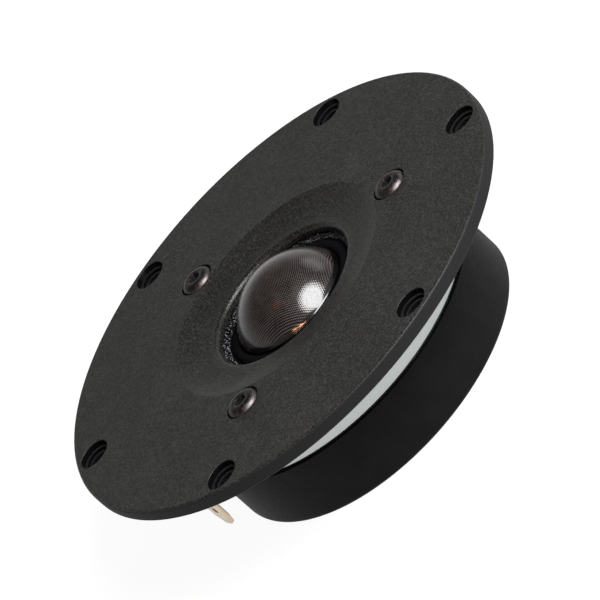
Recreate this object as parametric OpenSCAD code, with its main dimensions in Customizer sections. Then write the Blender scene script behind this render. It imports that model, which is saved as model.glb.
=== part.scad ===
// Flange-mount soft-dome tweeter, in millimetres.
// Z = 0 is the rear of the flange, where it seats on a panel, and +Z points out of the front.
// The lugs lie on the Y axis, and one screw and two fixing holes lie on the X axis.

/* [Faceplate] */
// Diameter of the flange
flange_d = 110; // [108:0.5:114]
// Thickness of the flange
flange_t = 3.0; // [2.8:0.1:3.6]
// Radius that rounds the rim's front edge
rim_round = 0.6; // [0.2:0.1:1]
// Diameter of the dished recess at the front face
recess_d = 53.4; // [50:0.2:54]
// Depth of the recess at the throat's lip
recess_depth = 1.75; // [1.5:0.05:1.9]
// Diameter of the throat
throat_d = 34.2; // [34.2:0.1:35]
// Radius that rounds the throat's lip
lip_round = 1.2; // [0.8:0.1:1.2]
// Diameter of the hub behind the flange
hub_d = 70; // [69:0.5:71]
// How far the hub stands behind the flange
hub_t = 2.2; // [2.1:0.1:2.4]

/* [Fixing holes] */
// Pitch circle of the fixing holes
fixing_pcd = 100.5; // [100:0.1:101]
// Diameter of a fixing hole
fixing_d = 4.4; // [4:0.1:4.8]
// Diameter of the outer counterbore
fixing_counterbore_d = 7.1; // [6.5:0.1:7.5]
// Diameter of the inner counterbore
fixing_step_d = 5.7; // [5.2:0.1:6]

/* [Faceplate screws] */
// Pitch circle of the screws
screw_pcd = 62.2; // [62:0.1:62.6]
// Diameter of a screw's pocket
pocket_d = 7.9; // [7.8:0.1:8.1]
// Depth of a screw's pocket
pocket_depth = 1.4; // [1.2:0.1:1.6]
// Length of a screw under its head
screw_length = 12; // [10:1:12]

/* [Diaphragm] */
// Height of the dome's top above the flange's rear
dome_top_z = 7.28; // [6.8:0.02:7.5]
// Radius of the dome's sphere
dome_sphere_r = 14.6; // [14.4:0.1:14.8]
// Thickness of the coated cloth
cloth_t = 0.35; // [0.3:0.05:0.4]
// Inner diameter of the voice coil former
coil_former_d = 25.7; // [25.6:0.1:25.8]
// Height of the winding
winding_h = 2.6; // [2:0.1:3]

/* [Motor] */
// Diameter of the top plate
top_plate_d = 71.5; // [71:0.1:72]
// Thickness of the top plate
top_plate_t = 6.3; // [5.5:0.1:6.5]
// Thickness of the magnet ring
magnet_t = 9.7; // [9:0.1:10]
// Thickness of the back plate
back_plate_t = 3.8; // [3.5:0.1:4]
// Outer diameter of the magnet cover
cover_d = 72.6; // [72.4:0.1:73]
// Radius that rounds the cover's rear edge
cover_round = 1.1; // [1:0.1:2.2]

/* [Terminals] */
// Distance of each lug from the axis
lug_y = 42.4; // [42:0.1:42.8]
// Width of a lug
lug_w = 4.8; // [4.4:0.1:5]
// How far the lugs reach behind the flange's rear
lug_reach = 18.0; // [16:0.5:19]

/* [Hidden] */
$fn = 96;

// Heights of the stack, each measured from the flange's rear face
gasket_top = -0.6;
gasket_t = 0.4;
ring_top = gasket_top - gasket_t;
ring_t = 0.8;
ring_bottom = ring_top - ring_t;
frame_top = -hub_t;
frame_t = 4.0;
frame_bottom = frame_top - frame_t;
top_plate_bottom = frame_bottom - top_plate_t;
magnet_bottom = top_plate_bottom - magnet_t;
back_plate_bottom = magnet_bottom - back_plate_t;
adhesive_t = 0.2;
cover_wall = 0.9;
cover_lip_gap = 0.25;
cover_inside = back_plate_bottom - adhesive_t;
cover_bottom = cover_inside - cover_wall;
cover_lip = top_plate_bottom - cover_lip_gap;

// Faceplate
throat_r = throat_d / 2;
recess_edge_round = 1.0;
rear_chamfer = 0.3;
seat_inner_r = 47;
seat_step = 0.3;
rim_seat_r = 21.6;
fixing_counterbore_depth = 1.3;
fixing_step_depth = 2.0;
fixing_count = 6;
mouth_chamfer = 0.1;

// Screws: M4 button heads with a hexagon socket
screw_count = 3;
screw_shank_r = 1.95;
screw_hole_r = 2.25;
tapped_hole_r = 2.0;
head_r = 3.8;
head_t = 2.2;
head_rim = 0.3;
head_flat_r = 2.0;
socket_across_flats = 2.5;
socket_depth = 1.3;
socket_fn = 6;
screw_seat = flange_t - pocket_depth;

// Diaphragm
dome_centre = dome_top_z - dome_sphere_r;
former_inner_r = coil_former_d / 2;
former_wall = 0.15;
former_outer_r = former_inner_r + former_wall;
former_top = -1.95;
former_bottom = -11.2;
skirt_t = 0.2;
skirt_r = former_outer_r + skirt_t;
skirt_top = -1.3;
skirt_bottom = -3.0;
winding_t = 0.45;
winding_top = -8.4;
leadout_t = 0.1;
leadout_w = 0.8;
leadout_top = -4.6;
roll_r = 1.25;
roll_centre_r = skirt_r + roll_r;
collar_bottom = -3.0;
rim_outer_r = 21.4;
ring_inner_r = 16.1;
ring_slope_r = 17.5;
ring_inner_t = 0.35;
gasket_inner_r = 17.9;

// Diaphragm frame
frame_outer_r = 35;
frame_inner_r = 14.8;
relief_r = 16.4;
relief_z = -4.2;
ear_half_w = 5;
ear_corner_r = 2;
ear_start = 32;
ear_end = 45.4;
ear_drop_start = 36.3;
ear_drop = 1.0;
ear_bottom = frame_bottom - ear_drop;
dowel_r = 1.2;
dowel_hole_r = 1.3;
dowel_length = 2.0;
dowel_hole_depth = 2.5;
dowel_centre_r = 26;
dowel_angles = [60, 180];

// Leads
lead_r = 0.4;
lead_y = 13.55;
lead_z = -2.9;
lead_bend_r = 1.6;
lead_foot = -5.4;
lead_slot_w = 1.8;
lead_slot_floor = -4.4;
lead_slot_start = 14;
lead_end = 37.4;

// Terminals
lug_t = 0.8;
lug_tip_w = 2.2;
lug_taper = 2.6;
lug_hole_r = 0.75;
lug_hole_from_tip = 4.3;
tag_t = 0.5;
tag_w = 1.6;
tag_bottom = -3.4;
rivet_y = 39.7;
rivet_shank_r = 1.2;
rivet_hole_r = 1.25;
rivet_head_r = 1.9;
rivet_head_t = 0.4;
rivet_eye_r = 0.7;
lug_slot_gap = 0.02;

// Motor
coil_gap = 0.3;
gap_outer_r = former_outer_r + winding_t + coil_gap;
plate_chamfer = 0.3;
magnet_outer_r = 35;
magnet_inner_r = 16.5;
magnet_chamfer = 0.6;
back_plate_r = 34.5;
back_plate_chamfer = 0.5;
pole_r = 12.1;
pole_top = -6.0;
spigot_r = 7;
vent_r = 4;
cap_gap = 0.02;
cap_inner_r = pole_r + cap_gap;
cap_outer_r = former_inner_r - coil_gap;
cap_top_t = 0.4;
cap_bottom = -14;
cap_eye_r = 4.5;
damper_r = 10.8;
damper_t = 2.6;
wadding_r = 3.9;
wadding_top = -8;
wadding_bottom = -23;
cover_inner_r = cover_d / 2 - cover_wall;
adhesive_r = 25;

cut = 0.5; // how far a cutting tool runs past what it cuts

// Points on an arc about [cx, cy], from angle a0 to a1
function arc(cx, cy, r, a0, a1, n = 8) =
    [for (i = [0:n]) let (a = a0 + (a1 - a0) * i / n) [cx + r * cos(a), cy + r * sin(a)]];

// Repeats a child evenly round the Z axis
module around(count, start = 0) {
    for (i = [0:count - 1])
        rotate(start + i * 360 / count)
            children();
}

// A plain ring between two radii and two heights
module ring(inner_r, outer_r, bottom, top) {
    difference() {
        translate([0, 0, bottom])
            cylinder(r = outer_r, h = top - bottom);
        translate([0, 0, bottom - cut])
            cylinder(r = inner_r, h = top - bottom + 2 * cut);
    }
}

// A ring with both outer edges chamfered
module chamfered_ring(inner_r, outer_r, bottom, top, chamfer) {
    rotate_extrude()
        polygon([
            [inner_r, bottom], [outer_r - chamfer, bottom], [outer_r, bottom + chamfer],
            [outer_r, top - chamfer], [outer_r - chamfer, top], [inner_r, top]
        ]);
}

// Half section of the faceplate: the lip is an arc whose top is level, the recess is a dish that
// rises from there ever more steeply, and the rear face seats on its outer ring alone
module faceplate_section() {
    lip_centre_r = throat_r + lip_round;
    lip_z = flange_t - recess_depth;
    dish_w = recess_d / 2 - lip_centre_r;
    dish_r = (dish_w * dish_w + recess_depth * recess_depth) / (2 * recess_depth);
    edge_slope = asin(dish_w / dish_r);
    edge_half = recess_edge_round * tan(edge_slope / 2);
    edge_end = recess_d / 2 + edge_half;
    dish_end = asin((dish_w - edge_half * cos(edge_slope)) / dish_r);
    polygon(concat(
        [[rim_seat_r, gasket_top], [throat_r, gasket_top]],
        arc(lip_centre_r, lip_z - lip_round, lip_round, 180, 90, 8),
        arc(lip_centre_r, lip_z + dish_r, dish_r, 271, 270 + dish_end, 20),
        arc(edge_end, flange_t - recess_edge_round, recess_edge_round, 90 + edge_slope, 90, 5),
        arc(flange_d / 2 - rim_round, flange_t - rim_round, rim_round, 90, 0, 5),
        [
            [flange_d / 2, rear_chamfer], [flange_d / 2 - rear_chamfer, 0],
            [seat_inner_r, 0], [seat_inner_r, seat_step],
            [hub_d / 2, seat_step], [hub_d / 2, frame_top], [rim_seat_r, frame_top]
        ]
    ));
}

module faceplate() {
    color([0.20, 0.21, 0.20])
        difference() {
            rotate_extrude()
                faceplate_section();
            around(fixing_count)
                translate([fixing_pcd / 2, 0, 0])
                    fixing_hole();
            around(screw_count)
                translate([screw_pcd / 2, 0, 0])
                    screw_pocket();
        }
}

// A through hole under two round steps
module fixing_hole() {
    translate([0, 0, -cut])
        cylinder(d = fixing_d, h = flange_t + 2 * cut);
    translate([0, 0, flange_t - fixing_step_depth])
        cylinder(d = fixing_step_d, h = fixing_step_depth + cut);
    translate([0, 0, flange_t - fixing_counterbore_depth])
        cylinder(d = fixing_counterbore_d, h = fixing_counterbore_depth + cut);
    mouth(fixing_counterbore_d / 2);
}

// A through hole under a round pocket for the head
module screw_pocket() {
    translate([0, 0, frame_top - cut])
        cylinder(r = screw_hole_r, h = flange_t + hub_t + 2 * cut);
    translate([0, 0, screw_seat])
        cylinder(d = pocket_d, h = pocket_depth + cut);
    mouth(pocket_d / 2);
}

// Cone that breaks the edge of a round hole in the front face
module mouth(hole_r) {
    translate([0, 0, flange_t - mouth_chamfer])
        cylinder(r1 = hole_r, r2 = hole_r + mouth_chamfer + cut, h = mouth_chamfer + cut);
}

// One screw, with the underside of its head at Z = 0
module screw() {
    dome_h = head_t - head_rim;
    dome_w = head_r - head_flat_r;
    difference() {
        rotate_extrude()
            polygon(concat(
                [[0, -screw_length], [screw_shank_r, -screw_length], [screw_shank_r, 0], [head_r, 0]],
                [for (i = [0:6]) let (a = 90 * i / 6)
                    [head_flat_r + dome_w * cos(a), head_rim + dome_h * sin(a)]],
                [[0, head_t]]
            ));
        translate([0, 0, head_t - socket_depth])
            cylinder(d = socket_across_flats / cos(30), h = socket_depth + cut, $fn = socket_fn);
    }
}

module faceplate_screws() {
    color([0.30, 0.29, 0.29])
        around(screw_count)
            translate([screw_pcd / 2, 0, screw_seat])
                screw();
}

module front_gasket() {
    color([0.12, 0.12, 0.12])
        ring(gasket_inner_r, rim_outer_r, ring_top, gasket_top);
}

// Moulded ring that clamps the diaphragm's rim: its inner edge slopes down to the surround
module diaphragm_ring() {
    color([0.24, 0.24, 0.25])
        rotate_extrude()
            polygon([
                [ring_inner_r, ring_bottom], [rim_outer_r, ring_bottom], [rim_outer_r, ring_top],
                [ring_slope_r, ring_top], [ring_inner_r, ring_bottom + ring_inner_t]
            ]);
}

// Plan of one terminal ear, pointing along +Y, with round outer corners
module ear_plan(start) {
    translate([-ear_half_w, start])
        square([2 * ear_half_w, ear_end - ear_corner_r - start]);
    translate([-ear_half_w + ear_corner_r, start])
        square([2 * (ear_half_w - ear_corner_r), ear_end - start]);
    for (side = [-1, 1])
        translate([side * (ear_half_w - ear_corner_r), ear_end - ear_corner_r])
            circle(r = ear_corner_r);
}

module ear() {
    translate([0, 0, frame_bottom])
        linear_extrude(frame_t)
            ear_plan(ear_start);
    translate([0, 0, ear_bottom])
        linear_extrude(frame_t + ear_drop)
            ear_plan(ear_drop_start);
}

// What each ear has cut into it: the lead's slot, the lug's slot and the rivet's hole
module ear_cuts() {
    slot_w = lug_w + 2 * lug_slot_gap;
    slot_t = lug_t + 2 * lug_slot_gap;
    translate([-lead_slot_w / 2, lead_slot_start, lead_slot_floor])
        cube([lead_slot_w, lead_end + tag_t + lug_slot_gap - lead_slot_start, -lead_slot_floor]);
    translate([-slot_w / 2, lug_y - slot_t / 2, ear_bottom - cut])
        cube([slot_w, slot_t, frame_t + ear_drop + 2 * cut]);
    translate([0, rivet_y, ear_bottom - cut])
        cylinder(r = rivet_hole_r, h = frame_t + ear_drop + 2 * cut);
}

module diaphragm_frame() {
    color([0.10, 0.10, 0.11])
        union() {
            difference() {
                union() {
                    translate([0, 0, frame_bottom])
                        cylinder(r = frame_outer_r, h = frame_t);
                    around(2)
                        ear();
                }
                translate([0, 0, frame_bottom - cut])
                    cylinder(r = frame_inner_r, h = frame_t + 2 * cut);
                translate([0, 0, relief_z])
                    cylinder(r = relief_r, h = frame_top - relief_z + cut);
                around(screw_count)
                    translate([screw_pcd / 2, 0, frame_bottom - cut])
                        cylinder(r = screw_hole_r, h = frame_t + 2 * cut);
                around(2)
                    ear_cuts();
            }
            for (a = dowel_angles)
                rotate(a)
                    translate([dowel_centre_r, 0, frame_bottom - dowel_length])
                        cylinder(r = dowel_r, h = dowel_length + cut);
        }
}

// One terminal on +Y: a blade down through the ear, a flange on top of it, and a solder tag
// turned down into the lead's slot
module terminal() {
    outer = lug_y + lug_t / 2;
    difference() {
        union() {
            translate([0, outer, -lug_reach])
                rotate([90, 0, 0])
                    linear_extrude(lug_t)
                        polygon([
                            [-lug_tip_w / 2, 0], [lug_tip_w / 2, 0], [lug_w / 2, lug_taper],
                            [lug_w / 2, lug_reach + frame_top + lug_t],
                            [-lug_w / 2, lug_reach + frame_top + lug_t], [-lug_w / 2, lug_taper]
                        ]);
            translate([-lug_w / 2, lead_end, frame_top])
                cube([lug_w, outer - lead_end, lug_t]);
            translate([-tag_w / 2, lead_end, tag_bottom])
                cube([tag_w, tag_t, frame_top + lug_t - tag_bottom]);
        }
        translate([0, outer + cut, lug_hole_from_tip - lug_reach])
            rotate([90, 0, 0])
                cylinder(r = lug_hole_r, h = lug_t + 2 * cut);
        translate([0, rivet_y, frame_top - cut])
            cylinder(r = rivet_hole_r, h = lug_t + 2 * cut);
    }
}

module terminal_positive() {
    color([0.85, 0.70, 0.48])
        terminal();
}

module terminal_negative() {
    color([0.85, 0.70, 0.48])
        rotate(180)
            terminal();
}

// Two hollow rivets, each closed over the terminal and under the ear
module terminal_rivets() {
    top = frame_top + lug_t;
    color([0.80, 0.68, 0.42])
        around(2)
            translate([0, rivet_y, 0])
                difference() {
                    union() {
                        translate([0, 0, ear_bottom - rivet_head_t])
                            cylinder(r = rivet_shank_r, h = top - ear_bottom + 2 * rivet_head_t);
                        translate([0, 0, top])
                            cylinder(r = rivet_head_r, h = rivet_head_t);
                        translate([0, 0, ear_bottom - rivet_head_t])
                            cylinder(r = rivet_head_r, h = rivet_head_t);
                    }
                    translate([0, 0, ear_bottom - rivet_head_t - cut])
                        cylinder(r = rivet_eye_r, h = top - ear_bottom + 2 * rivet_head_t + 2 * cut);
                }
}

// One lead on +Y: up beside the former, round a quarter turn, and out along the frame's slot
module lead() {
    bend_y = lead_y + lead_bend_r;
    bend_z = lead_z - lead_bend_r;
    translate([0, lead_y, lead_foot])
        cylinder(r = lead_r, h = bend_z - lead_foot, $fn = 32);
    translate([0, bend_y, bend_z])
        rotate([90, 0, 90])
            rotate([0, 0, 90])
                rotate_extrude(angle = 90, $fn = 32)
                    translate([lead_bend_r, 0])
                        circle(r = lead_r, $fn = 32);
    translate([0, lead_end, lead_z])
        rotate([90, 0, 0])
            cylinder(r = lead_r, h = lead_end - bend_y, $fn = 32);
}

module lead_positive() {
    color([0.72, 0.42, 0.28])
        lead();
}

module lead_negative() {
    color([0.72, 0.42, 0.28])
        rotate(180)
            lead();
}

// Spherical cap of cloth with a skirt that is glued round the former
module dome() {
    color([0.33, 0.29, 0.27])
        union() {
            difference() {
                intersection() {
                    translate([0, 0, dome_centre])
                        sphere(r = dome_sphere_r);
                    translate([0, 0, former_top])
                        cylinder(r = skirt_r, h = dome_top_z - former_top + cut);
                }
                translate([0, 0, dome_centre])
                    sphere(r = dome_sphere_r - cloth_t);
            }
            ring(former_outer_r, skirt_r, skirt_bottom, skirt_top);
        }
}

// Half-roll of cloth between the dome's skirt and the flat rim under the diaphragm ring
module surround() {
    color([0.16, 0.15, 0.16])
        rotate_extrude()
            union() {
                difference() {
                    translate([roll_centre_r, frame_top])
                        circle(r = roll_r);
                    translate([roll_centre_r, frame_top])
                        circle(r = roll_r - cloth_t);
                    translate([roll_centre_r - 2 * roll_r, frame_top - 2 * roll_r])
                        square([4 * roll_r, 2 * roll_r]);
                }
                translate([skirt_r, collar_bottom])
                    square([cloth_t, frame_top - collar_bottom]);
                translate([roll_centre_r + roll_r - cloth_t / 2, frame_top])
                    square([rim_outer_r - roll_centre_r - roll_r + cloth_t / 2, ring_bottom - frame_top]);
            }
}

module voice_coil_former() {
    color([0.78, 0.78, 0.80])
        ring(former_inner_r, former_outer_r, former_bottom, former_top);
}

// Winding on the former, with the two flat lead-outs that run up to the leads
module voice_coil() {
    color([0.72, 0.38, 0.20]) {
        ring(former_outer_r, former_outer_r + winding_t, winding_top - winding_h, winding_top);
        intersection() {
            ring(former_outer_r, former_outer_r + leadout_t, winding_top - cut, leadout_top);
            translate([-leadout_w / 2, -2 * former_outer_r, winding_top - 2 * cut])
                cube([leadout_w, 4 * former_outer_r, leadout_top - winding_top + 3 * cut]);
        }
    }
}

module top_plate() {
    color([0.78, 0.79, 0.79])
        difference() {
            chamfered_ring(gap_outer_r, top_plate_d / 2, top_plate_bottom, frame_bottom, plate_chamfer);
            around(screw_count)
                translate([screw_pcd / 2, 0, top_plate_bottom - cut])
                    cylinder(r = tapped_hole_r, h = top_plate_t + 2 * cut);
            for (a = dowel_angles)
                rotate(a)
                    translate([dowel_centre_r, 0, frame_bottom - dowel_hole_depth])
                        cylinder(r = dowel_hole_r, h = dowel_hole_depth + cut);
        }
}

module magnet() {
    color([0.22, 0.22, 0.23])
        chamfered_ring(magnet_inner_r, magnet_outer_r, magnet_bottom, top_plate_bottom, magnet_chamfer);
}

module back_plate() {
    color([0.70, 0.71, 0.71])
        chamfered_ring(spigot_r, back_plate_r, back_plate_bottom, magnet_bottom, back_plate_chamfer);
}

// Steel pole with a spigot pressed into the back plate and a vent right through
module pole_piece() {
    color([0.62, 0.63, 0.64])
        rotate_extrude()
            polygon([
                [vent_r, back_plate_bottom], [spigot_r, back_plate_bottom], [spigot_r, magnet_bottom],
                [pole_r, magnet_bottom], [pole_r, pole_top], [vent_r, pole_top]
            ]);
}

module copper_cap() {
    color([0.75, 0.42, 0.26])
        rotate_extrude()
            polygon([
                [cap_eye_r, pole_top], [cap_inner_r, pole_top], [cap_inner_r, cap_bottom],
                [cap_outer_r, cap_bottom], [cap_outer_r, pole_top + cap_top_t],
                [cap_eye_r, pole_top + cap_top_t]
            ]);
}

module dome_damper() {
    color([0.45, 0.45, 0.44])
        translate([0, 0, pole_top + cap_top_t])
            cylinder(r = damper_r, h = damper_t);
}

module vent_wadding() {
    color([0.80, 0.79, 0.76])
        translate([0, 0, wadding_bottom])
            cylinder(r = wadding_r, h = wadding_top - wadding_bottom);
}

// Cup over the magnet and the back plate, with a round rear edge
module magnet_cover() {
    outer_r = cover_d / 2;
    inner_round = cover_round - cover_wall;
    lip_chamfer = 0.25;
    color([0.11, 0.11, 0.12])
        rotate_extrude()
            polygon(concat(
                [[0, cover_bottom]],
                arc(outer_r - cover_round, cover_bottom + cover_round, cover_round, -90, 0, 6),
                [[outer_r, cover_lip - lip_chamfer], [outer_r - lip_chamfer, cover_lip],
                 [cover_inner_r, cover_lip]],
                arc(cover_inner_r - inner_round, cover_inside + inner_round, inner_round, 0, -90, 4),
                [[0, cover_inside]]
            ));
}

module cover_adhesive() {
    color([0.85, 0.84, 0.80])
        translate([0, 0, cover_inside])
            cylinder(r = adhesive_r, h = adhesive_t);
}

faceplate();
faceplate_screws();
front_gasket();
diaphragm_ring();
diaphragm_frame();
terminal_positive();
terminal_negative();
terminal_rivets();
lead_positive();
lead_negative();
dome();
surround();
voice_coil_former();
voice_coil();
top_plate();
magnet();
back_plate();
pole_piece();
copper_cap();
dome_damper();
vent_wadding();
magnet_cover();
cover_adhesive();
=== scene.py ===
"""Looks of a flange-mount soft-dome tweeter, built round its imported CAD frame.

Everything is in metres in the CAD frame: Z = 0 is the rear of the flange, +Z points out of the front.
"""

import math

import bmesh
import bpy
import numpy as np
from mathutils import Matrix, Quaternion, Vector, noise


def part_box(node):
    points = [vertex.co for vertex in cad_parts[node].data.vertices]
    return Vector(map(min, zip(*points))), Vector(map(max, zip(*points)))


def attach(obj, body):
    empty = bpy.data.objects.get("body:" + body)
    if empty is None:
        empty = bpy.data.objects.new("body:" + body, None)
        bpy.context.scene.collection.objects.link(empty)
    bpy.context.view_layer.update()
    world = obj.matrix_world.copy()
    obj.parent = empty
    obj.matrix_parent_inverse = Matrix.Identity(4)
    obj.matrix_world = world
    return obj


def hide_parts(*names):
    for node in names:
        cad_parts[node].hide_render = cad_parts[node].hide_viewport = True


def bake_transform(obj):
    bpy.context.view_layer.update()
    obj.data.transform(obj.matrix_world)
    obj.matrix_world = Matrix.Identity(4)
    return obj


MM = 0.001

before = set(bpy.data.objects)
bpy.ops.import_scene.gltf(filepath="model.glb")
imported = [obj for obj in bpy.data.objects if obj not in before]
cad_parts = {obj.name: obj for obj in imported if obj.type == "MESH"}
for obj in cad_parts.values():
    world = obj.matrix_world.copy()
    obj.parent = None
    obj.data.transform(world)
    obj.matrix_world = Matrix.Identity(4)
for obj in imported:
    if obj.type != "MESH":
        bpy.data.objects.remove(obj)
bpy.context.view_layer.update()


# ---------------------------------------------------------------- meshes

def linked(name, mesh, material, sharp_above=35):
    """A new object from a mesh, smooth but for edges sharper than sharp_above degrees."""
    mesh.validate()
    mesh.shade_smooth()
    mesh.set_sharp_from_angle(angle=math.radians(sharp_above))
    mesh.materials.clear()
    mesh.materials.append(material)
    piece = bpy.data.objects.new(name, mesh)
    bpy.context.scene.collection.objects.link(piece)
    return piece


def grid_faces(rows, segments, closed):
    """Quads between rows of points, each row a closed loop; closed joins the last row to the first."""
    r = np.arange(rows if closed else rows - 1)[:, None]
    s = np.arange(segments)[None, :]
    below, above = r * segments, (r + 1) % rows * segments
    after = (s + 1) % segments
    quads = np.stack(np.broadcast_arrays(below + s, below + after, above + after, above + s), -1)
    return quads.reshape(-1, 4)


def solid(name, points, faces, material, sharp_above=35):
    """A new object from an array of points and a list of faces, with every face turned outwards."""
    mesh = bpy.data.meshes.new(name)
    mesh.from_pydata(points.tolist(), [], faces)
    bm = bmesh.new()
    bm.from_mesh(mesh)
    bmesh.ops.recalc_face_normals(bm, faces=bm.faces)
    bm.to_mesh(mesh)
    bm.free()
    return linked(name, mesh, material, sharp_above)


def from_rings(name, rings, material, closed=False, sharp_above=35):
    """A mesh from rings, an array of rows by segments by 3. Open ends are closed with a fan."""
    rows, segments, _ = rings.shape
    points = rings.reshape(-1, 3)
    faces = grid_faces(rows, segments, closed).tolist()
    if not closed:
        centres = rings[[0, -1]].mean(axis=1)
        points = np.concatenate([points, centres])
        last = (rows - 1) * segments
        for i in range(segments):
            j = (i + 1) % segments
            faces.append([rows * segments, j, i])
            faces.append([rows * segments + 1, last + i, last + j])
    return solid(name, points, faces, material, sharp_above)


def rounded(corners, steps=4):
    """Points of a closed outline whose corners (x, y, radius) are rounded by arcs."""
    points = []
    for i, (x, y, radius) in enumerate(corners):
        here = np.array([x, y], float)
        if radius == 0:
            points.append(here)
            continue
        to_last = np.array(corners[i - 1][:2], float) - here
        to_next = np.array(corners[(i + 1) % len(corners)][:2], float) - here
        a = to_last / np.linalg.norm(to_last)
        b = to_next / np.linalg.norm(to_next)
        half = math.acos(np.clip(a @ b, -1, 1)) / 2
        middle = a + b
        centre = here + middle / np.linalg.norm(middle) * radius / math.sin(half)
        start = here + a * radius / math.tan(half) - centre
        end = here + b * radius / math.tan(half) - centre
        sweep = math.pi - 2 * half
        for k in range(steps + 1):
            share = k / steps
            mix = math.sin((1 - share) * sweep) * start + math.sin(share * sweep) * end
            points.append(centre + mix / math.sin(sweep))
    return points


def dense(points, step, closed=True):
    """The same outline with no gap between points longer than step."""
    result = []
    count = len(points) if closed else len(points) - 1
    for i in range(count):
        a, b = np.array(points[i]), np.array(points[(i + 1) % len(points)])
        parts = max(1, math.ceil(np.linalg.norm(b - a) / step))
        result += [a + (b - a) * k / parts for k in range(parts)]
    if not closed:
        result.append(np.array(points[-1]))
    return result


def turned(outline, segments):
    """Rings of an outline of (radius, height) points turned about the Z axis."""
    outline = np.array(outline, float)
    angle = np.linspace(0, 2 * math.pi, segments, endpoint=False)
    rings = np.empty((len(outline), segments, 3))
    rings[..., 0] = outline[:, :1] * np.cos(angle)
    rings[..., 1] = outline[:, :1] * np.sin(angle)
    rings[..., 2] = outline[:, 1:]
    return rings


def lathe(name, outline, material, segments, sharp_above=35):
    """A ring-shaped solid turned from a closed outline."""
    return from_rings(name, turned(outline, segments), material, True, sharp_above)


def disc(name, outline, material, segments, sharp_above=35):
    """A solid turned from an open outline whose two ends lie near the axis."""
    return from_rings(name, turned(outline, segments), material, False, sharp_above)


def ruffle(piece, amount, size):
    """Moves each point along its normal by smooth noise of about that size."""
    roughness, spacing, octaves, basis = 0.8, 2.1, 3, "PERLIN_ORIGINAL"
    mesh = piece.data
    for vertex, normal in zip(mesh.vertices, [v.normal.copy() for v in mesh.vertices]):
        height = noise.fractal(vertex.co / size, roughness, spacing, octaves, noise_basis=basis)
        vertex.co += normal * (amount * height)
    mesh.update()


def bevelled(name, node, width, material):
    """A copy of a CAD node's mesh with its sharp edges rounded off."""
    sharp_above, flat_below, same_point = 35, 0.5, 0.0001 * MM
    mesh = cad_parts[node].data.copy()
    mesh.name = name
    bm = bmesh.new()
    bm.from_mesh(mesh)
    bmesh.ops.remove_doubles(bm, verts=bm.verts, dist=same_point)
    bmesh.ops.dissolve_limit(bm, angle_limit=math.radians(flat_below), verts=bm.verts, edges=bm.edges)
    sharp = [
        e for e in bm.edges
        if len(e.link_faces) == 2 and e.calc_face_angle(0) > math.radians(sharp_above)
    ]
    bmesh.ops.bevel(
        bm, geom=sharp, offset=width, segments=2, profile=0.5, affect="EDGES", clamp_overlap=True,
    )
    bm.to_mesh(mesh)
    bm.free()
    if mesh.has_custom_normals:
        mesh.normals_split_custom_set_from_vertices([(0, 0, 0)] * len(mesh.vertices))
    return linked(name, mesh, material, sharp_above)


# ---------------------------------------------------------------- materials

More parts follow.
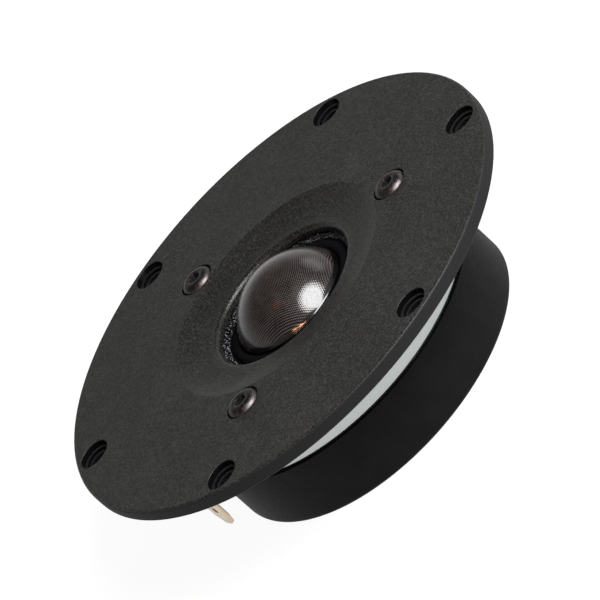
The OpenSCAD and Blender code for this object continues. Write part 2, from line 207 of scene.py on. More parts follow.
class Finish:
    """A Principled material and short calls that add texture nodes to it."""

    def __init__(self, name, colour, roughness, metallic=0.0, specular=0.5):
        self.material = bpy.data.materials.new(name)
        self.material.use_nodes = True
        self.tree = self.material.node_tree
        self.shader = self.tree.nodes["Principled BSDF"]
        self.set("Base Color", (*colour, 1))
        self.set("Roughness", roughness)
        self.set("Metallic", metallic)
        self.set("Specular IOR Level", specular)
        self.coordinates = self.node("ShaderNodeTexCoord").outputs
        self.place = self.coordinates["Object"]
        self.normal = None

    def set(self, socket, value):
        self.shader.inputs[socket].default_value = value
        return self

    def node(self, kind, **values):
        made = self.tree.nodes.new(kind)
        for key, value in values.items():
            if key in made.inputs:
                made.inputs[key].default_value = value
            else:
                setattr(made, key, value)
        return made

    def join(self, output, target):
        self.tree.links.new(output, target)

    def stretched(self, scale, turn=0.0):
        """Object coordinates times scale, then turned about Z."""
        mapping = self.node("ShaderNodeMapping")
        mapping.inputs["Scale"].default_value = scale
        mapping.inputs["Rotation"].default_value = (0, 0, turn)
        self.join(self.place, mapping.inputs["Vector"])
        return mapping.outputs["Vector"]

    def noise(self, size, detail=3.0, rough=0.5, scale=(1, 1, 1)):
        made = self.node("ShaderNodeTexNoise", Scale=1 / size, Detail=detail, Roughness=rough)
        self.join(self.stretched(scale), made.inputs["Vector"])
        return made.outputs["Fac"]

    def cells(self, size, feature="F1"):
        made = self.node("ShaderNodeTexVoronoi", feature=feature, Scale=1 / size)
        self.join(self.place, made.inputs["Vector"])
        return made.outputs["Distance"]

    def spread(self, value, low, high, to_low=0.0, to_high=1.0):
        """value from low to high becomes to_low to to_high."""
        made = self.node("ShaderNodeMapRange")
        made.inputs["From Min"].default_value = low
        made.inputs["From Max"].default_value = high
        made.inputs["To Min"].default_value = to_low
        made.inputs["To Max"].default_value = to_high
        self.join(value, made.inputs["Value"])
        return made.outputs["Result"]

    def inverse(self, value):
        """1 less value, for a value from 0 to 1."""
        return self.spread(value, 0.0, 1.0, 1.0, 0.0)

    def sum(self, a, b, share):
        """a and b mixed, share of b."""
        made = self.node("ShaderNodeMix", data_type="FLOAT")
        made.inputs["Factor"].default_value = share
        self.join(a, made.inputs["A"])
        self.join(b, made.inputs["B"])
        return made.outputs["Result"]

    def threads(self, pitch, turn):
        """0 between threads and 1 on top of them, for two crossed sets of threads of that pitch."""
        split = self.split(self.stretched((math.pi / pitch,) * 3, -turn))
        waves = []
        for axis in "XY":
            sine = self.node("ShaderNodeMath", operation="SINE")
            self.join(split[axis], sine.inputs[0])
            hump = self.node("ShaderNodeMath", operation="ABSOLUTE")
            self.join(sine.outputs["Value"], hump.inputs[0])
            waves.append(hump.outputs["Value"])
        return self.product(*waves)

    def product(self, a, b):
        made = self.node("ShaderNodeMath", operation="MULTIPLY")
        self.join(a, made.inputs[0])
        self.join(b, made.inputs[1])
        return made.outputs["Value"]

    def ramp(self, value, low, high, stops):
        """A colour from (position, colour) stops over value from low to high."""
        ramp = self.node("ShaderNodeValToRGB")
        elements = ramp.color_ramp.elements
        while len(elements) < len(stops):
            elements.new(0.5)
        for element, (position, colour) in zip(elements, stops):
            element.position = position
            element.color = (*colour, 1)
        self.join(self.spread(value, low, high), ramp.inputs["Fac"])
        return ramp.outputs["Color"]

    def colours(self, value, low, high, stops):
        """Base colour from such a ramp."""
        self.join(self.ramp(value, low, high, stops), self.shader.inputs["Base Color"])

    def colour_mix(self, a, b, share):
        """Base colour from a to b as share goes from 0 to 1."""
        made = self.node("ShaderNodeMix", data_type="RGBA")
        from_colour, to_colour = [s for s in made.inputs if s.type == "RGBA"]
        mixed = next(s for s in made.outputs if s.type == "RGBA")
        self.join(share, made.inputs["Factor"])
        self.join(a, from_colour)
        self.join(b, to_colour)
        self.join(mixed, self.shader.inputs["Base Color"])

    def split(self, vector):
        made = self.node("ShaderNodeSeparateXYZ")
        self.join(vector, made.inputs["Vector"])
        return made.outputs

    def combined(self, **parts):
        made = self.node("ShaderNodeCombineXYZ")
        for axis, value in parts.items():
            self.join(value, made.inputs[axis])
        return made.outputs["Vector"]

    def height(self):
        return self.split(self.place)["Z"]

    def radius(self):
        """Distance from the Z axis."""
        here = self.split(self.place)
        made = self.node("ShaderNodeVectorMath", operation="LENGTH")
        self.join(self.combined(X=here["X"], Y=here["Y"]), made.inputs[0])
        return made.outputs["Value"]

    def upright(self):
        """1 where the surface faces along +Z, 0 on walls and -1 at the rear."""
        return self.split(self.coordinates["Normal"])["Z"]

    def rough(self, value, low, high):
        """Roughness from low to high as value goes from 0.3 to 0.7."""
        self.join(self.spread(value, 0.3, 0.7, low, high), self.shader.inputs["Roughness"])

    def bump(self, value, depth):
        """Adds relief of that depth, on top of any relief so far."""
        made = self.node("ShaderNodeBump", Strength=1.0, Distance=depth)
        self.join(value, made.inputs["Height"])
        if self.normal:
            self.join(self.normal, made.inputs["Normal"])
        self.normal = made.outputs["Normal"]
        self.join(self.normal, self.shader.inputs["Normal"])


def faceplate_black():
    """Spark-eroded texture in front and in the throat; flatter walls and rear, darkened as painted
    shade.

    The steps of the holes are much like the walls, painted shade too. Inside the rim the walls and the
    rear are part metal, which keeps them near black under the pale surroundings, more painted shade.
    """
    f = Finish("faceplate_black", (0.015, 0.015, 0.014), 0.42, specular=0.27)
    radius = f.radius()
    outside_throat = f.spread(radius, 20 * MM, 21 * MM)
    # walls, and the steps of the holes below the face, take a painted shade in place of the face's
    # texture
    walls = f.product(outside_throat, f.spread(f.upright(), 0.8, 0.3))
    below_face = f.spread(f.height(), 2.8 * MM, 2.6 * MM, 0.0, 0.85)
    steps = f.product(f.spread(radius, 27.2 * MM, 27.4 * MM), below_face)
    textured = f.product(f.inverse(walls), f.inverse(steps))
    grain = f.noise(0.4 * MM, 3.0, 0.7)
    cloud = f.noise(9 * MM, 3.0)
    face = f.ramp(f.sum(grain, cloud, 0.1), 0.37, 0.63, [
        (0.0, (0.0036, 0.0037, 0.0034)), (0.5, (0.0094, 0.0094, 0.0086)), (1.0, (0.029, 0.0285, 0.0262)),
    ])
    # painted shade: near-black colour for the walls, the steps of the holes and the rear
    wall = f.ramp(grain, 0.3, 0.7, [(0.0, (0.0024, 0.0021, 0.0028)), (1.0, (0.0040, 0.0036, 0.0046))])
    f.colour_mix(wall, face, textured)
    matt = f.spread(textured, 0.0, 1.0, 0.8, 0.43)
    smoother_throat = f.spread(radius, 19.6 * MM, 18.2 * MM, 1.0, 0.55)
    f.join(f.product(matt, smoother_throat), f.shader.inputs["Roughness"])
    # painted shade: walls inside the rim made part metal with their near-black colour, so they reflect
    # next to nothing
    inside_rim = f.spread(radius, 54.0 * MM, 53.6 * MM, 0.0, 0.9)
    f.join(f.product(walls, inside_rim), f.shader.inputs["Metallic"])
    f.bump(f.product(f.spread(textured, 0.0, 1.0, 0.08, 1.0), grain), 0.085 * MM)
    return f.material


def screw_steel():
    f = Finish("screw_steel", (0.12, 0.108, 0.106), 0.4, metallic=1.0)
    wear = f.noise(0.8 * MM, 4.0, 0.6)
    f.colours(wear, 0.3, 0.7, [(0.0, (0.050, 0.044, 0.043)), (1.0, (0.11, 0.098, 0.096))])
    f.rough(wear, 0.34, 0.48)
    f.bump(f.noise(0.12 * MM, 2.0), 0.004 * MM)
    return f.material


def socket_painted_shade():
    # Painted shade: near-black faces deep in the hex socket, where shade falls.
    f = Finish("socket_painted_shade", (0.006, 0.005, 0.005), 0.7, specular=0.1)
    mottle = f.noise(0.3 * MM, 3.0)
    f.colours(mottle, 0.3, 0.7, [(0.0, (0.004, 0.0035, 0.0035)), (1.0, (0.010, 0.009, 0.009))])
    f.bump(mottle, 0.01 * MM)
    return f.material


def foam(name, dark, light, size):
    f = Finish(name, light, 0.95, specular=0.15)
    pores = f.cells(size)
    f.colours(pores, 0.1, 0.7, [(0.0, dark), (1.0, light)])
    f.bump(pores, 0.06 * MM)
    return f.material


def ring_plastic():
    # Painted light: base made near black for the throat's shade; rare light specks are painted glints.
    f = Finish("ring_plastic", (0.012, 0.012, 0.013), 0.36, specular=0.12)
    grain = f.noise(0.4 * MM, 2.0, 0.7)
    f.colours(grain, 0.40, 0.66, [
        (0.0, (0.0008, 0.0007, 0.0010)), (0.62, (0.003, 0.003, 0.004)), (1.0, (0.21, 0.206, 0.22)),
    ])
    f.rough(grain, 0.38, 0.55)
    f.bump(grain, 0.12 * MM)
    return f.material


def frame_plastic():
    f = Finish("frame_plastic", (0.014, 0.014, 0.015), 0.45, specular=0.35)
    cloud = f.noise(3 * MM, 4.0)
    f.colours(cloud, 0.3, 0.7, [(0.0, (0.010, 0.010, 0.011)), (1.0, (0.018, 0.018, 0.019))])
    f.rough(cloud, 0.4, 0.52)
    f.bump(f.noise(0.35 * MM, 2.0), 0.012 * MM)
    return f.material


def lug_gold():
    f = Finish("lug_gold", (0.58, 0.47, 0.33), 0.24, metallic=1.0)
    drawn = f.noise(0.5 * MM, 4.0, 0.6, scale=(4, 4, 0.35))
    f.colours(drawn, 0.25, 0.75, [(0.0, (0.50, 0.39, 0.25)), (1.0, (0.66, 0.56, 0.42))])
    f.rough(drawn, 0.18, 0.34)
    f.bump(drawn, 0.004 * MM)
    return f.material


def rivet_brass():
    f = Finish("rivet_brass", (0.74, 0.55, 0.28), 0.28, metallic=1.0)
    wear = f.noise(0.6 * MM, 4.0)
    f.colours(wear, 0.3, 0.7, [(0.0, (0.62, 0.44, 0.20)), (1.0, (0.80, 0.62, 0.34))])
    f.rough(wear, 0.2, 0.4)
    f.bump(wear, 0.006 * MM)
    return f.material


def wire_copper(name, dark, light):
    f = Finish(name, light, 0.3, metallic=1.0)
    wear = f.noise(0.25 * MM, 3.0)
    f.colours(wear, 0.3, 0.7, [(0.0, dark), (1.0, light)])
    f.rough(wear, 0.22, 0.4)
    f.bump(f.noise(0.08 * MM, 2.0), 0.003 * MM)
    return f.material


THREAD = 0.33 * MM     # pitch of the cloth's threads
THREAD_TURN = math.radians(135)     # direction across one set of threads


def dome_cloth():
    """Woven cloth with a soft shine under a thin gloss, and a smooth band at its glued edge."""
    f = Finish("dome_cloth", (0.03, 0.024, 0.021), 0.3, specular=0.12)
    f.set("Coat Weight", 0.9)
    f.set("Coat Roughness", 0.05)
    woven = f.spread(f.radius(), 12.9 * MM, 12.6 * MM)
    threads = f.product(f.threads(THREAD, THREAD_TURN), woven)
    cloud = f.noise(3.5 * MM, 3.0)
    # Colour of the weave: near black between threads as painted shade, light tops as painted glints.
    f.colours(f.sum(threads, cloud, 0.3), 0.14, 0.86, [
        (0.0, (0.0008, 0.0007, 0.0010)), (0.5, (0.0062, 0.0050, 0.0049)), (1.0, (0.088, 0.070, 0.064)),
    ])
    f.rough(cloud, 0.26, 0.36)
    f.bump(threads, 0.006 * MM)
    f.bump(f.product(f.noise(0.28 * MM, 2.0, 0.6), woven), 0.004 * MM)
    f.join(f.normal, f.shader.inputs["Coat Normal"])
    f.bump(threads, 0.014 * MM)
    return f.material


def surround_cloth():
    # Dark cloth, made near black as painted shade of the valley round the dome.
    f = Finish("surround_cloth", (0.0025, 0.0022, 0.0026), 0.7, specular=0.03)
    fibre = f.noise(0.12 * MM, 2.0, 0.6)
    f.colours(fibre, 0.3, 0.7, [(0.0, (0.0010, 0.0008, 0.0011)), (1.0, (0.0046, 0.0040, 0.0048))])
    f.rough(fibre, 0.6, 0.8)
    f.bump(fibre, 0.012 * MM)
    return f.material


def former_foil():
    f = Finish("former_foil", (0.82, 0.82, 0.84), 0.3, metallic=1.0)
    rolled = f.noise(0.6 * MM, 4.0, 0.6, scale=(0.3, 0.3, 5))
    f.colours(rolled, 0.3, 0.7, [(0.0, (0.70, 0.70, 0.72)), (1.0, (0.88, 0.88, 0.90))])
    f.rough(rolled, 0.22, 0.4)
    f.bump(rolled, 0.003 * MM)
    return f.material


def machined(name, dark, light, low_rough, high_rough):
    """Metal with turning marks, from noise that changes only with radius and height."""
    f = Finish(name, light, low_rough, metallic=1.0)
    rings = f.combined(X=f.radius(), Y=f.height())
    marks = f.node("ShaderNodeTexNoise", Scale=1 / (0.22 * MM), Detail=3.0, Roughness=0.6)
    f.join(rings, marks.inputs["Vector"])
    cloud = f.noise(5 * MM, 4.0)
    both = f.sum(marks.outputs["Fac"], cloud, 0.5)
    f.colours(both, 0.35, 0.65, [(0.0, dark), (1.0, light)])
    f.rough(both, low_rough, high_rough)
    f.bump(marks.outputs["Fac"], 0.006 * MM)
    return f.material


def ferrite():
    f = Finish("ferrite", (0.03, 0.03, 0.032), 0.6, specular=0.45)
    grain = f.noise(0.25 * MM, 4.0, 0.7)
    cloud = f.noise(4 * MM, 3.0)
    f.colours(f.sum(grain, cloud, 0.5), 0.35, 0.65, [
        (0.0, (0.020, 0.020, 0.022)), (1.0, (0.045, 0.045, 0.047)),
    ])
    f.rough(grain, 0.5, 0.72)
    f.bump(grain, 0.02 * MM)
    return f.material


def felt(name, dark, light):
    f = Finish(name, light, 0.95, specular=0.1)
    f.set("Sheen Weight", 0.3)
    f.set("Sheen Roughness", 0.6)
    fibres = f.noise(0.18 * MM, 5.0, 0.7, scale=(1, 1, 2.5))
    f.colours(fibres, 0.3, 0.7, [(0.0, dark), (1.0, light)])
    f.bump(fibres, 0.08 * MM)
    return f.material


def cover_black():
    f = Finish("cover_black", (0.005, 0.0048, 0.005), 0.42, specular=0.06)
    folds = f.cells(0.62 * MM, "DISTANCE_TO_EDGE")
    grain = f.noise(0.3 * MM, 3.0, 0.6)
    cloud = f.noise(6 * MM, 3.0)
    f.colours(f.sum(grain, cloud, 0.5), 0.35, 0.65, [
        (0.0, (0.0035, 0.0032, 0.0036)), (1.0, (0.0065, 0.0060, 0.0065)),
    ])
    f.rough(grain, 0.46, 0.60)
    f.bump(f.spread(folds, 0.0, 0.12), 0.035 * MM)
    f.bump(grain, 0.05 * MM)
    return f.material


FINISHES = {
    "faceplate_black": faceplate_black(),
    "screw_steel": screw_steel(),
    "socket_painted_shade": socket_painted_shade(),
    "gasket_foam": foam("gasket_foam", (0.008, 0.008, 0.008), (0.03, 0.03, 0.03), 0.22 * MM),
    "ring_plastic": ring_plastic(),
    "frame_plastic": frame_plastic(),
    "lug_gold": lug_gold(),
    "rivet_brass": rivet_brass(),
    "lead_copper": wire_copper("lead_copper", (0.45, 0.20, 0.11), (0.78, 0.42, 0.27)),
    "dome_cloth": dome_cloth(),
    "surround_cloth": surround_cloth(),
    "former_foil": former_foil(),
    "coil_wire": wire_copper("coil_wire", (0.42, 0.15, 0.06), (0.66, 0.28, 0.13)),
    "zinc_plate": machined("zinc_plate", (0.40, 0.425, 0.42), (0.48, 0.505, 0.50), 0.36, 0.5),
    "ferrite": ferrite(),
    "pole_steel": machined("pole_steel", (0.42, 0.42, 0.43), (0.56, 0.56, 0.57), 0.3, 0.46),
    "cap_copper": machined("cap_copper", (0.55, 0.26, 0.15), (0.80, 0.44, 0.29), 0.26, 0.4),
    "damper_felt": felt("damper_felt", (0.10, 0.10, 0.098), (0.20, 0.20, 0.195)),
    "wadding_felt": felt("wadding_felt", (0.42, 0.41, 0.38), (0.68, 0.66, 0.62)),
    "cover_black": cover_black(),
    "adhesive_foam": foam("adhesive_foam", (0.45, 0.44, 0.41), (0.72, 0.71, 0.67), 0.15 * MM),
}


# ---------------------------------------------------------------- pieces

def heights(node):
    """Lowest and highest Z, and the outer radius, of a round CAD node."""
    low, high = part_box(node)
    return low.z, high.z, high.x


def take_place(piece, node, body):
    """Puts a piece in a CAD node's place, on that body."""
    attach(piece, body)
    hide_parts(node)


CLOTH = 0.35 * MM     # thickness of the dome and the surround
SKIRT_R = 13.2 * MM     # outside of the dome's skirt, where the surround begins
RIM_Z = -2.2 * MM     # rear of the surround's flat rim, and middle of its roll


def weave(x, y):
    """Height, from 0 to 1, of a plain weave at plan position x, y."""
    roundness, crossing = 0.6, 0.8
    c, s = math.cos(THREAD_TURN), math.sin(THREAD_TURN)
    u, v = (x * c + y * s) / THREAD, (y * c - x * s) / THREAD
    over_u = np.where(np.floor(u) % 2 == 0, 1.0, -1.0)
    over_v = np.where(np.floor(v) % 2 == 0, 1.0, -1.0)
    warp = np.abs(np.sin(math.pi * u)) ** roundness * (1 + crossing * over_u * np.sin(math.pi * v))
    weft = np.abs(np.sin(math.pi * v)) ** roundness * (1 - crossing * over_v * np.sin(math.pi * u))
    return np.maximum(warp, weft) / (1 + crossing)


def disc_grid(cells):
    """A square grid of cells by cells mapped onto the unit disc without a pole."""
    t = np.linspace(-1, 1, cells + 1)
    a, b = np.meshgrid(t, t, indexing="ij")
    wide = np.abs(a) > np.abs(b)
    with np.errstate(divide="ignore", invalid="ignore"):
        angle = np.where(wide, b / a * math.pi / 4, math.pi / 2 - a / b * math.pi / 4)
    radius = np.where(wide, a, b)
    angle = np.nan_to_num(angle)
    return radius * np.cos(angle), radius * np.sin(angle)


def cap_points(cells, radius, rim, centre, relief):
    """Such a grid laid on a sphere, with woven relief that fades out at the rim."""
    fade_width = 0.8 * MM
    x, y = (g * rim for g in disc_grid(cells))
    z = np.sqrt(radius ** 2 - x ** 2 - y ** 2)
    fade = np.clip((rim - np.hypot(x, y)) / fade_width, 0, 1)
    grow = 1 + relief * fade * (weave(x, y) - 1) / radius
    return np.stack([x * grow, y * grow, centre + z * grow], -1).reshape(-1, 3)


def cap_faces(cells, start):
    """Quads of such a grid, whose points are numbered from start."""
    i, j = np.meshgrid(np.arange(cells), np.arange(cells), indexing="ij")
    corner = start + i * (cells + 1) + j
    quads = np.stack([corner, corner + cells + 1, corner + cells + 2, corner + 1], -1)
    return quads.reshape(-1, 4).tolist()


def cap_edge(cells, start):
    """Point numbers in order round the edge of such a grid."""
    def number(i, j):
        return start + i * (cells + 1) + j

    side = range(cells)
    return (
        [number(i, 0) for i in side] + [number(cells, j) for j in side]
        + [number(cells - i, cells) for i in side] + [number(0, cells - j) for j in side]
    )


def stitched(fine, coarse):
    """Faces between two rings of point numbers, where fine has a whole multiple of coarse's count."""
    ratio = len(fine) // len(coarse)
    faces = []
    for k, point in enumerate(coarse):
        last = coarse[k - 1]
        between = [fine[((k - 1) * ratio + m) % len(fine)] for m in range(ratio + 1)]
        faces.append([last, point, between[-1]])
        faces += [[last, between[m + 1], between[m]] for m in range(ratio)]
    return faces


def dome():
    """A woven cap on a dense grid, its edge turned down into a skirt, and a plain cloth inside."""
    low, high, edge = heights("dome")
    sphere_r = 14.6 * MM
    centre = high - sphere_r
    skirt_inner = edge - 0.2 * MM
    outer_cells, inner_cells = 288, 48
    outer = cap_points(outer_cells, sphere_r, edge - 0.12 * MM, centre, relief=0.007 * MM)
    inner = cap_points(inner_cells, sphere_r - CLOTH, skirt_inner, centre, relief=0)
    points = np.concatenate([outer, inner])
    faces = cap_faces(outer_cells, 0) + cap_faces(inner_cells, len(outer))

    ring = cap_edge(outer_cells, 0)
    angles = np.arctan2(outer[ring, 1], outer[ring, 0])
    edge_z = outer[ring[0], 2]
    skirt = [
        (edge - 0.03 * MM, edge_z - 0.12 * MM), (edge, edge_z - 0.26 * MM), (edge, low + 0.05 * MM),
        (edge - 0.05 * MM, low), (skirt_inner, low),
    ]
    for radius, height in skirt:
        x, y = radius * np.cos(angles), radius * np.sin(angles)
        row = np.stack([x, y, np.full(len(angles), height)], -1)
        below = list(range(len(points), len(points) + len(ring)))
        points = np.concatenate([points, row])
        faces += [[ring[k], ring[k - 1], below[k - 1], below[k]] for k in range(len(ring))]
        ring = below
    faces += stitched(ring, cap_edge(inner_cells, len(outer)))
    piece = solid("dome_cloth_cap", points, faces, FINISHES["dome_cloth"], 60)
    take_place(piece, "dome", "diaphragm")


def surround():
    """A half-roll of cloth whose inner edge runs down beside the dome's skirt and which ends in a flat,
    still rim.
    """
    low, high, rim_r = heights("surround")
    roll_r = high - RIM_Z
    middle_r = SKIRT_R + roll_r
    rim_top = -1.8 * MM
    skirt_gap = 0.005 * MM
    woven_r = rim_r - 4 * MM
    relief = 0.012 * MM

    def arc(radius, first, last):
        angles = np.linspace(math.radians(first), math.radians(last), 26)
        return [(middle_r + radius * math.cos(t), RIM_Z + radius * math.sin(t)) for t in angles]

    outline = (
        [(SKIRT_R + skirt_gap, low), (SKIRT_R + skirt_gap, RIM_Z - 0.2 * MM)] + arc(roll_r, 176, 16)
        + [(middle_r + roll_r + 0.12 * MM, rim_top + 0.05 * MM), (middle_r + roll_r + 0.3 * MM, rim_top)]
        + [(rim_r, rim_top), (rim_r, RIM_Z)] + arc(roll_r - CLOTH, 0, 176) + [(SKIRT_R + CLOTH, low)]
    )
    rings = turned(dense(outline, 0.16 * MM), 640)
    x, y, z = rings[..., 0], rings[..., 1], rings[..., 2]
    woven = np.clip((woven_r - np.hypot(x, y)) / MM, 0, 1) * (z > RIM_Z)
    rings[..., 2] += relief * woven * (weave(x, y) - 1)
    piece = from_rings("surround_cloth_roll", rings, FINISHES["surround_cloth"], True, 60)
    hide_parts("surround")
    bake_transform(piece)


SHANK_R = 1.95 * MM     # of a screw, over its thread
SOCKET_DEPTH = 1.3 * MM     # of the hexagon in its head
SOCKET_MOUTH_R = 1.42 * MM     # least radius of its chamfer
SOCKET_MOUTH_DEPTH = 0.10 * MM     # of the chamfer, below the head's flat


def head_rows(angle, top, seat):
    """Rows of (radii, height) from the middle of the socket, out over the domed head, to its seat."""
    head_r, face_r, rim_h = 3.8 * MM, 2.05 * MM, 0.35 * MM
    across_flats = 2.5 * MM
    even = np.ones(len(angle))
    sector = (angle + math.pi / 6) % (math.pi / 3) - math.pi / 6
    hexagon = across_flats / 2 / np.cos(sector)
    floor = top - SOCKET_DEPTH
    rows = [
        (0.25 * hexagon, floor - 0.25 * MM), (0.7 * hexagon, floor - 0.1 * MM),
        (hexagon, floor), (hexagon, top - 0.22 * MM),
        (np.maximum(hexagon * 1.02, SOCKET_MOUTH_R), top - SOCKET_MOUTH_DEPTH),
        (1.56 * MM * even, top - 0.02 * MM), (1.66 * MM * even, top), (face_r * even, top),
    ]
    rise = top - seat - rim_h
    for t in np.linspace(0.12, 1, 12) * math.pi / 2:
        radius = face_r + (head_r - face_r) * math.sin(t)
        rows.append((radius * even, seat + rim_h + rise * math.cos(t)))
    return rows + [
        (head_r * even, seat + 0.08 * MM), ((head_r - 0.08 * MM) * even, seat), (2.15 * MM * even, seat),
        (SHANK_R * even, seat - 0.15 * MM),
    ]


def thread_rows(angle, top, low):
    """Rows down a threaded shank: the groove fades in at the top, and the tip is tapered."""
    pitch, depth = 0.7 * MM, 0.38 * MM
    turns = (top - low) / pitch
    rows = [(np.full(len(angle), SHANK_R), top)]
    for t in np.linspace(0, turns, int(turns * 9)):
        phase = (t - angle / (2 * math.pi)) % 1
        groove = np.clip(1.15 - np.abs(phase - 0.5) * 2.3, 0, 1)
        fade = min(1, t / 1.5, (turns - t) / 0.3 + 0.25)
        taper = depth * max(0, 1 - (turns - t))
        rows.append((np.minimum(SHANK_R - depth * fade * groove, SHANK_R - taper), top - t * pitch))
    return rows


def screws():
    """Three button-head screws with a cut thread, each turned further on its axis than the last."""
    low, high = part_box("faceplate_screws")
    top, seat = high.z, high.z - 2.2 * MM
    ring_r, plain_shank = 31.1 * MM, 0.8 * MM
    socket_floor, socket_rim = top - SOCKET_DEPTH - 0.3 * MM, top - SOCKET_MOUTH_DEPTH - 0.06 * MM
    angle = np.linspace(0, 2 * math.pi, 96, endpoint=False)
    rows = head_rows(angle, top, seat) + thread_rows(angle, seat - plain_shank, low.z)
    for i in range(3):
        place = i * 2 * math.pi / 3
        x, y = ring_r * math.cos(place), ring_r * math.sin(place)
        spun = angle + 0.6 * i
        rings = np.array([
            np.stack([x + r * np.cos(spun), y + r * np.sin(spun), np.full(len(angle), z)], -1)
            for r, z in rows
        ])
        screw = from_rings(f"faceplate_screw_{i + 1}", rings, FINISHES["screw_steel"], False, 40)
        # the faces inside the socket take the painted shade material
        screw.data.materials.append(FINISHES["socket_painted_shade"])
        for face in screw.data.polygons:
            inside = (face.center.xy - Vector((x, y))).length < SOCKET_MOUTH_R + 0.01 * MM
            face.material_index = 1 if inside and socket_floor < face.center.z < socket_rim else 0
        take_place(screw, "faceplate_screws", "chassis")


def lead(name, node, side):
    """A flexible lead of three twisted strands, from the coil's lead-out to the terminal's tag."""
    start_y, end_y = 13.55 * MM, 37.4 * MM
    foot, run_z, bend_r = -5.4 * MM, -2.9 * MM, 1.6 * MM
    radius, lay, strands = 0.4 * MM, 2.4 * MM, 3
    step, segments = 0.14 * MM, 24
    bend_start = run_z - bend_r
    rise, bend, run = bend_start - foot, bend_r * math.pi / 2, end_y - start_y - bend_r
    length = rise + bend + run
    angle = np.linspace(0, 2 * math.pi, segments, endpoint=False)
    rings = []
    for s in np.linspace(0, length, int(length / step)):
        if s < rise:
            y, z, tilt = start_y, foot + s, 0.0
        elif s < rise + bend:
            tilt = (s - rise) / bend_r
            y = start_y + bend_r * (1 - math.cos(tilt))
            z = bend_start + bend_r * math.sin(tilt)
        else:
            y, z, tilt = start_y + bend_r + s - rise - bend, run_z, math.pi / 2
        twist = strands * (angle - 2 * math.pi * s / lay)
        r = radius * (0.78 + 0.22 * np.abs(np.cos(twist / 2)))
        across = r * np.sin(angle)
        rings.append(np.stack([
            r * np.cos(angle), y - across * math.cos(tilt), z + across * math.sin(tilt),
        ], -1))
    rings = np.array(rings) * np.array([side, side, 1])
    piece = from_rings(name, rings, FINISHES["lead_copper"], False, 80)
    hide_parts(node)
    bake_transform(piece)


def voice_coil():
    """Turns of round wire on the former, with two flat lead-outs."""
    low, high, outer = heights("voice_coil")
    inner, winding_top, turns = 13.0 * MM, -8.4 * MM, 16
    wire_r = (winding_top - low) / turns / 2
    outline = [(inner, winding_top)]
    for i in range(turns):
        middle = winding_top - wire_r * (2 * i + 1)
        outline += [
            (outer - wire_r + wire_r * math.sin(t), middle + wire_r * math.cos(t))
            for t in np.linspace(0.25, math.pi - 0.25, 6)
        ]
    outline.append((inner, low))
    coil = lathe("voice_coil_winding", outline, FINISHES["coil_wire"], 160, 75)
    take_place(coil, "voice_coil", "diaphragm")
    for name, side in (("coil_leadout_a", -1), ("coil_leadout_b", 1)):
        lead_out(name, side, inner, winding_top - wire_r, high)


def lead_out(name, side, radius, low, high):
    """A flat strip that runs up the former from the winding."""
    thick, half, corner_r = 0.1 * MM, 0.4 * MM, 0.03 * MM
    corners = rounded([
        (radius, -half, 0), (radius + thick, -half, corner_r),
        (radius + thick, half, corner_r), (radius, half, 0),
    ], 3)
    rings = np.array([
        [(side * across, side * out, z) for out, across in corners]
        for z in np.linspace(low, high, 8)
    ])
    strip = from_rings(name, rings, FINISHES["coil_wire"])
    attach(strip, "diaphragm")


def magnet_cover():
    """A cup with a small round at its rear edge, and an eased lip."""
    low, high, outer = heights("magnet_cover")
    wall, lip, hub, axis = 0.9 * MM, 0.12 * MM, 4 * MM, 0.3 * MM
    floor = low + wall
    cup = rounded([
        (hub, low, 0), (outer, low, 1.1 * MM), (outer, high, lip), (outer - wall, high, lip),
        (outer - wall, floor, 0.25 * MM), (hub, floor, 0),
    ], 10)
    outline = dense([(axis, low)] + cup + [(axis, floor)], 1.2 * MM, False)
    piece = disc("magnet_cover_cup", outline, FINISHES["cover_black"], 256)
    take_place(piece, "magnet_cover", "chassis")


def clamp_ring():
    """The ring under the throat's lip, its inner part sloped."""
    low, high, outer = heights("diaphragm_ring")
    inner, slope_r = 16.1 * MM, 17.5 * MM
    outline = rounded([
        (inner, low, 0.05 * MM), (outer, low, 0.1 * MM), (outer, high, 0.1 * MM),
        (slope_r, high, 0.15 * MM), (inner, low + 0.35 * MM, 0.1 * MM),
    ], 4)
    piece = lathe("diaphragm_clamp_ring", dense(outline, 0.12 * MM), FINISHES["ring_plastic"], 720, 50)
    take_place(piece, "diaphragm_ring", "chassis")


def gasket():
    """A flat foam ring with eased edges."""
    low, high, outer = heights("front_gasket")
    inner, edge = 17.9 * MM, 0.1 * MM
    outline = rounded([
        (inner, low, edge), (outer, low, edge), (outer, high, edge), (inner, high, edge),
    ], 3)
    piece = lathe("front_gasket_foam", dense(outline, 0.35 * MM), FINISHES["gasket_foam"], 320, 60)
    take_place(piece, "front_gasket", "chassis")


def former():
    """A thin tube of foil."""
    low, high, outer = heights("voice_coil_former")
    inner, edge = outer - 0.15 * MM, 0.04 * MM
    outline = rounded([
        (inner, low, edge), (outer, low, edge), (outer, high, edge), (inner, high, edge),
    ], 3)
    piece = lathe("coil_former_foil", dense(outline, 1.0 * MM), FINISHES["former_foil"], 256)
    take_place(piece, "voice_coil_former", "diaphragm")


def magnet():
    """A ferrite ring with chamfered outer edges."""
    low, high, outer = heights("magnet")
    inner, inner_edge, chamfer, edge = 16.5 * MM, 0.3 * MM, 0.6 * MM, 0.15 * MM
    outline = rounded([
        (inner, low, inner_edge), (outer - chamfer, low, edge), (outer, low + chamfer, edge),
        (outer, high - chamfer, edge), (outer - chamfer, high, edge), (inner, high, inner_edge),
    ], 3)
    piece = lathe("magnet_ring", dense(outline, 1.5 * MM), FINISHES["ferrite"], 256)
    take_place(piece, "magnet", "chassis")


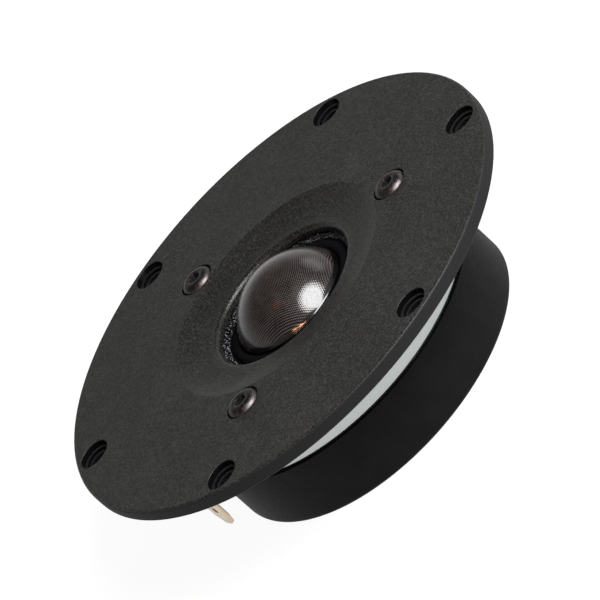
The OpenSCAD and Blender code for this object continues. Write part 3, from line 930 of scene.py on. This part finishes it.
def copper_cap():
    """A drawn cap with an eye in its top."""
    low, high, outer = heights("copper_cap")
    inner, eye, top_t = 12.12 * MM, 4.5 * MM, 0.4 * MM
    outline = rounded([
        (eye, high - top_t, 0.08 * MM), (inner, high - top_t, 0.1 * MM), (inner, low, 0.05 * MM),
        (outer, low, 0.1 * MM), (outer, high, 0.35 * MM), (eye, high, 0.12 * MM),
    ], 5)
    piece = lathe("pole_copper_cap", dense(outline, 1.0 * MM), FINISHES["cap_copper"], 256)
    take_place(piece, "copper_cap", "chassis")


def felt_disc(name, node, slot, edge, step, amount, size):
    """A soft disc whose surface wavers by amount, inset so that it stays inside its CAD node."""
    low, high, outer = heights(node)
    axis = 0.3 * MM
    outline = rounded([
        (axis, low + amount, 0), (outer - amount, low + amount, edge),
        (outer - amount, high - amount, edge), (axis, high - amount, 0),
    ], 5)
    piece = disc(name, dense(outline, step, False), FINISHES[slot], 220, 80)
    ruffle(piece, amount, size)
    take_place(piece, node, "chassis")


def rigid_copies():
    """Pieces cut from strip or plate: the CAD shape with its sharp edges broken."""
    for node, name, width, slot in (
        ("terminal_positive", "terminal_positive_lug", 0.09 * MM, "lug_gold"),
        ("terminal_negative", "terminal_negative_lug", 0.09 * MM, "lug_gold"),
        ("terminal_rivets", "terminal_rivet_pair", 0.08 * MM, "rivet_brass"),
    ):
        take_place(bevelled(name, node, width, FINISHES[slot]), node, "chassis")


def cad_pieces():
    """CAD nodes whose shape is right as it is get their finish."""
    for node, slot in (
        ("faceplate", "faceplate_black"),
        ("diaphragm_frame", "frame_plastic"),
        ("top_plate", "zinc_plate"),
        ("back_plate", "zinc_plate"),
        ("pole_piece", "pole_steel"),
    ):
        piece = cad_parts[node]
        piece.data.materials.clear()
        piece.data.materials.append(FINISHES[slot])


dome()
surround()
screws()
lead("lead_positive_flex", "lead_positive", 1)
lead("lead_negative_flex", "lead_negative", -1)
voice_coil()
magnet_cover()
clamp_ring()
gasket()
former()
magnet()
copper_cap()
felt_disc(
    "dome_damper_felt", "dome_damper", "damper_felt",
    edge=0.5 * MM, step=0.22 * MM, amount=0.06 * MM, size=0.5 * MM,
)
felt_disc(
    "vent_wadding_felt", "vent_wadding", "wadding_felt",
    edge=0.4 * MM, step=0.25 * MM, amount=0.1 * MM, size=0.6 * MM,
)
felt_disc(
    "cover_adhesive_pad", "cover_adhesive", "adhesive_foam",
    edge=0.05 * MM, step=0.8 * MM, amount=0.008 * MM, size=1.2 * MM,
)
rigid_copies()
cad_pieces()


# ---------------------------------------------------------------- camera, lights and floor

def direction(azimuth, elevation):
    """Unit vector from the object towards that azimuth, 0 along -Y and 90 along +X, and elevation."""
    a, e = math.radians(azimuth), math.radians(elevation)
    return Vector((math.sin(a) * math.cos(e), -math.cos(a) * math.cos(e), math.sin(e)))


def add_camera():
    """A long lens from the near side, held at a tilt so that the flange stands as a leaning oval."""
    aim = Vector((-1.595, -1.165, -2.335)) * MM
    back = direction(azimuth=252.134, elevation=26.438)
    distance = 1.142916
    tilt = Quaternion((0, 0, 1), math.radians(-47.916))
    camera = bpy.data.objects.new("camera", bpy.data.cameras.new("camera"))
    bpy.context.scene.collection.objects.link(camera)
    camera.rotation_mode = "QUATERNION"
    camera.rotation_quaternion = (-back).to_track_quat("-Z", "Y") @ tilt
    camera.location = aim + back * distance
    camera.data.sensor_width = 36
    camera.data.lens = 343.763
    bpy.context.scene.camera = camera


def softbox(name, azimuth, elevation, width, height, radiance, colour=(1, 1, 1)):
    """An oval lamp that faces the object and looks radiance bright in a mirror."""
    distance = 0.7
    lamp = bpy.data.lights.new(name, "AREA")
    lamp.shape = "ELLIPSE"
    lamp.size, lamp.size_y = width, height
    lamp.energy = radiance * math.pi * (math.pi * width * height / 4)
    lamp.color = colour
    holder = bpy.data.objects.new(name, lamp)
    bpy.context.scene.collection.objects.link(holder)
    back = direction(azimuth, elevation)
    holder.location = back * distance
    holder.rotation_mode = "QUATERNION"
    holder.rotation_quaternion = (-back).to_track_quat("-Z", "Y")


def add_world():
    """Pale at the horizon and dim overhead."""
    world = bpy.data.worlds.new("studio")
    bpy.context.scene.world = world
    world.use_nodes = True
    nodes, links = world.node_tree.nodes, world.node_tree.links
    split = nodes.new("ShaderNodeSeparateXYZ")
    links.new(nodes.new("ShaderNodeTexCoord").outputs["Generated"], split.inputs["Vector"])
    ramp = nodes.new("ShaderNodeValToRGB")
    links.new(split.outputs["Z"], ramp.inputs["Fac"])
    stops = ramp.color_ramp.elements
    stops[0].position, stops[0].color = 0.1, (0.75, 0.75, 0.75, 1)
    stops[1].position, stops[1].color = 0.6, (0.03, 0.03, 0.032, 1)
    links.new(ramp.outputs["Color"], nodes["Background"].inputs["Color"])


def add_floor():
    """A plain pale floor under the rear of the cover."""
    half = 4.0
    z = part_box("magnet_cover")[0].z
    mesh = bpy.data.meshes.new("floor")
    corners = [(-half, -half, z), (half, -half, z), (half, half, z), (-half, half, z)]
    mesh.from_pydata(corners, [], [(0, 1, 2, 3)])
    finish = Finish("floor_paper", (0.12, 0.12, 0.12), 0.9, specular=0.1)
    finish.set("Emission Color", (1, 1, 1, 1)).set("Emission Strength", 0.94)
    finish.bump(finish.noise(0.8 * MM), 0.02 * MM)
    floor = linked("floor", mesh, finish.material)


add_camera()
add_world()
add_floor()
softbox("key_softbox", azimuth=-68.5, elevation=41.5, width=0.58, height=0.42, radiance=19.5)
softbox("fill_softbox", azimuth=8.0, elevation=28.0, width=0.40, height=0.22, radiance=1.3)
softbox(
    "warm_strip", azimuth=-129.7, elevation=28.0, width=0.36, height=0.010, radiance=48.0,
    colour=(1.0, 0.5, 0.3),
)
softbox(
    "warm_lamp", azimuth=-176.0, elevation=73.6, width=0.08, height=0.08, radiance=4.0,
    colour=(1.0, 0.3, 0.2),
)
bpy.context.scene.view_settings.view_transform = "Standard"
